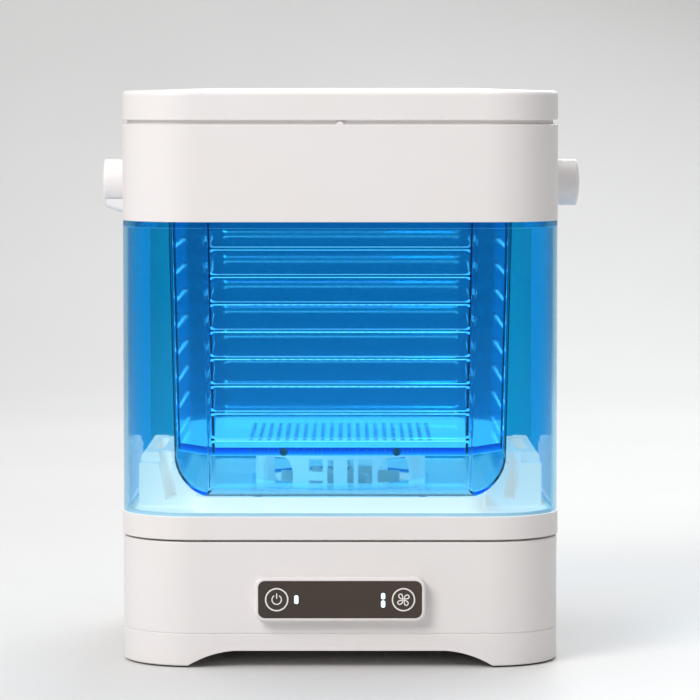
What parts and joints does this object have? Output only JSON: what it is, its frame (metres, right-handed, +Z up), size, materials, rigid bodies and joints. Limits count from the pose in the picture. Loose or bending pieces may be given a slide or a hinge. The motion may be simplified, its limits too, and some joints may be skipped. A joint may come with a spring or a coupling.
{
  "type": "resin wash station",
  "caption": "Square wash station: white base with a button panel, lift-off blue clear tank with magnetic stirrer, slotted basket, lid and carrying bail.",
  "frame": {"origin": "on the floor, under the middle of the square plan, on the axis of the motor and stirrer", "axes": "+Z up, +X to the viewer's right when facing the button panel, +Y to the back (the panel faces -Y)"},
  "size_m": [0.2732, 0.2796, 0.3156],
  "materials": {
    "white_casing": "satin",
    "blue_clear": "polished",
    "rubber_black": "matte",
    "silicone": "matte",
    "grip_grey": "matte",
    "panel_dark": "satin",
    "lens": "polished",
    "circuit_board": "satin",
    "components": "satin",
    "lamp_chip": "satin",
    "steel": "brushed",
    "screws": "satin",
    "cast_alloy": "satin",
    "magnet": "polished",
    "ferrite": "matte",
    "cable": "matte",
    "impeller_plastic": "satin",
    "bush": "satin"
  },
  "bodies": {
    "base": {"base_shell": "white_casing", "bottom_cover": "white_casing", "foot_strip": "rubber_black", "cover_screws": "screws", "panel_bezel": "white_casing", "panel_overlay": "panel_dark", "power_led_lens": "lens", "speed_led_lenses": "lens", "control_board": "circuit_board", "tact_switches": "components", "indicator_leds": "lamp_chip", "panel_board_screws": "screws", "driver_board": "circuit_board", "driver_components": "components", "driver_board_screws": "screws", "dc_socket": "components", "dc_socket_nut": "steel", "motor_can": "steel", "motor_front_plate": "cast_alloy", "motor_bearings": "steel", "motor_magnets": "ferrite", "motor_bracket": "steel", "motor_grommets": "rubber_black", "bracket_screws": "screws", "motor_plate_screws": "screws", "wiring_loom": "cable"},
    "drive": {"motor_shaft": "steel", "motor_rotor": "steel", "drive_disc": "cast_alloy", "drive_magnets": "magnet", "drive_set_screw": "screws"},
    "power_key": {"power_button": "panel_dark"},
    "speed_key": {"speed_button": "panel_dark"},
    "tank": {"tank_ring": "white_casing", "tank_cradles": "white_casing", "cradle_screws": "screws", "outer_shell": "blue_clear", "shell_seal": "silicone", "collar_gasket": "silicone", "inner_tank": "blue_clear", "collar": "white_casing", "pivot_pins": "steel", "handle_rest": "white_casing", "impeller_spindle": "steel", "spindle_cap": "impeller_plastic", "impeller_guard": "white_casing"},
    "stirrer": {"impeller": "impeller_plastic", "impeller_bush": "bush", "impeller_magnets": "magnet"},
    "basket": {"basket": "blue_clear", "basket_floor": "blue_clear", "floor_pins": "steel"},
    "lid": {"lid_shell": "white_casing", "lid_liner": "white_casing", "lid_seal": "silicone", "lid_screws": "screws"},
    "bail": {"handle_bail": "white_casing", "handle_grip": "grip_grey", "hub_caps": "white_casing"}
  },
  "joints": [
    {"name": "drive_spin", "type": "hinge", "parent": "base", "child": "drive", "pos_m": [0, 0, 0.08], "axis": [0, 0, 1], "continuous": true},
    {"name": "power_press", "type": "slide", "parent": "base", "child": "power_key", "axis": [0, 1, 0], "range_m": [0, 0.0005]},
    {"name": "speed_press", "type": "slide", "parent": "base", "child": "speed_key", "axis": [0, 1, 0], "range_m": [0, 0.0005]},
    {"name": "tank_lift", "type": "slide", "parent": "base", "child": "tank", "axis": [0, 0, 1], "range_m": [0, 0.15]},
    {"name": "stirrer_spin", "type": "hinge", "parent": "tank", "child": "stirrer", "pos_m": [0, 0, 0.1], "axis": [0, 0, 1], "continuous": true},
    {"name": "basket_lift", "type": "slide", "parent": "tank", "child": "basket", "axis": [0, 0, 1], "range_m": [0, 0.32]},
    {"name": "lid_lift", "type": "slide", "parent": "basket", "child": "lid", "axis": [0, 0, 1], "range_m": [0, 0.1]},
    {"name": "bail_swing", "type": "hinge", "parent": "tank", "child": "bail", "pos_m": [0, 0, 0.262], "axis": [1, 0, 0], "range_deg": [0, 90]}
  ],
  "couplings": [
    {"joint": "stirrer_spin", "follows": "drive_spin", "ratio": 1}
  ]
}
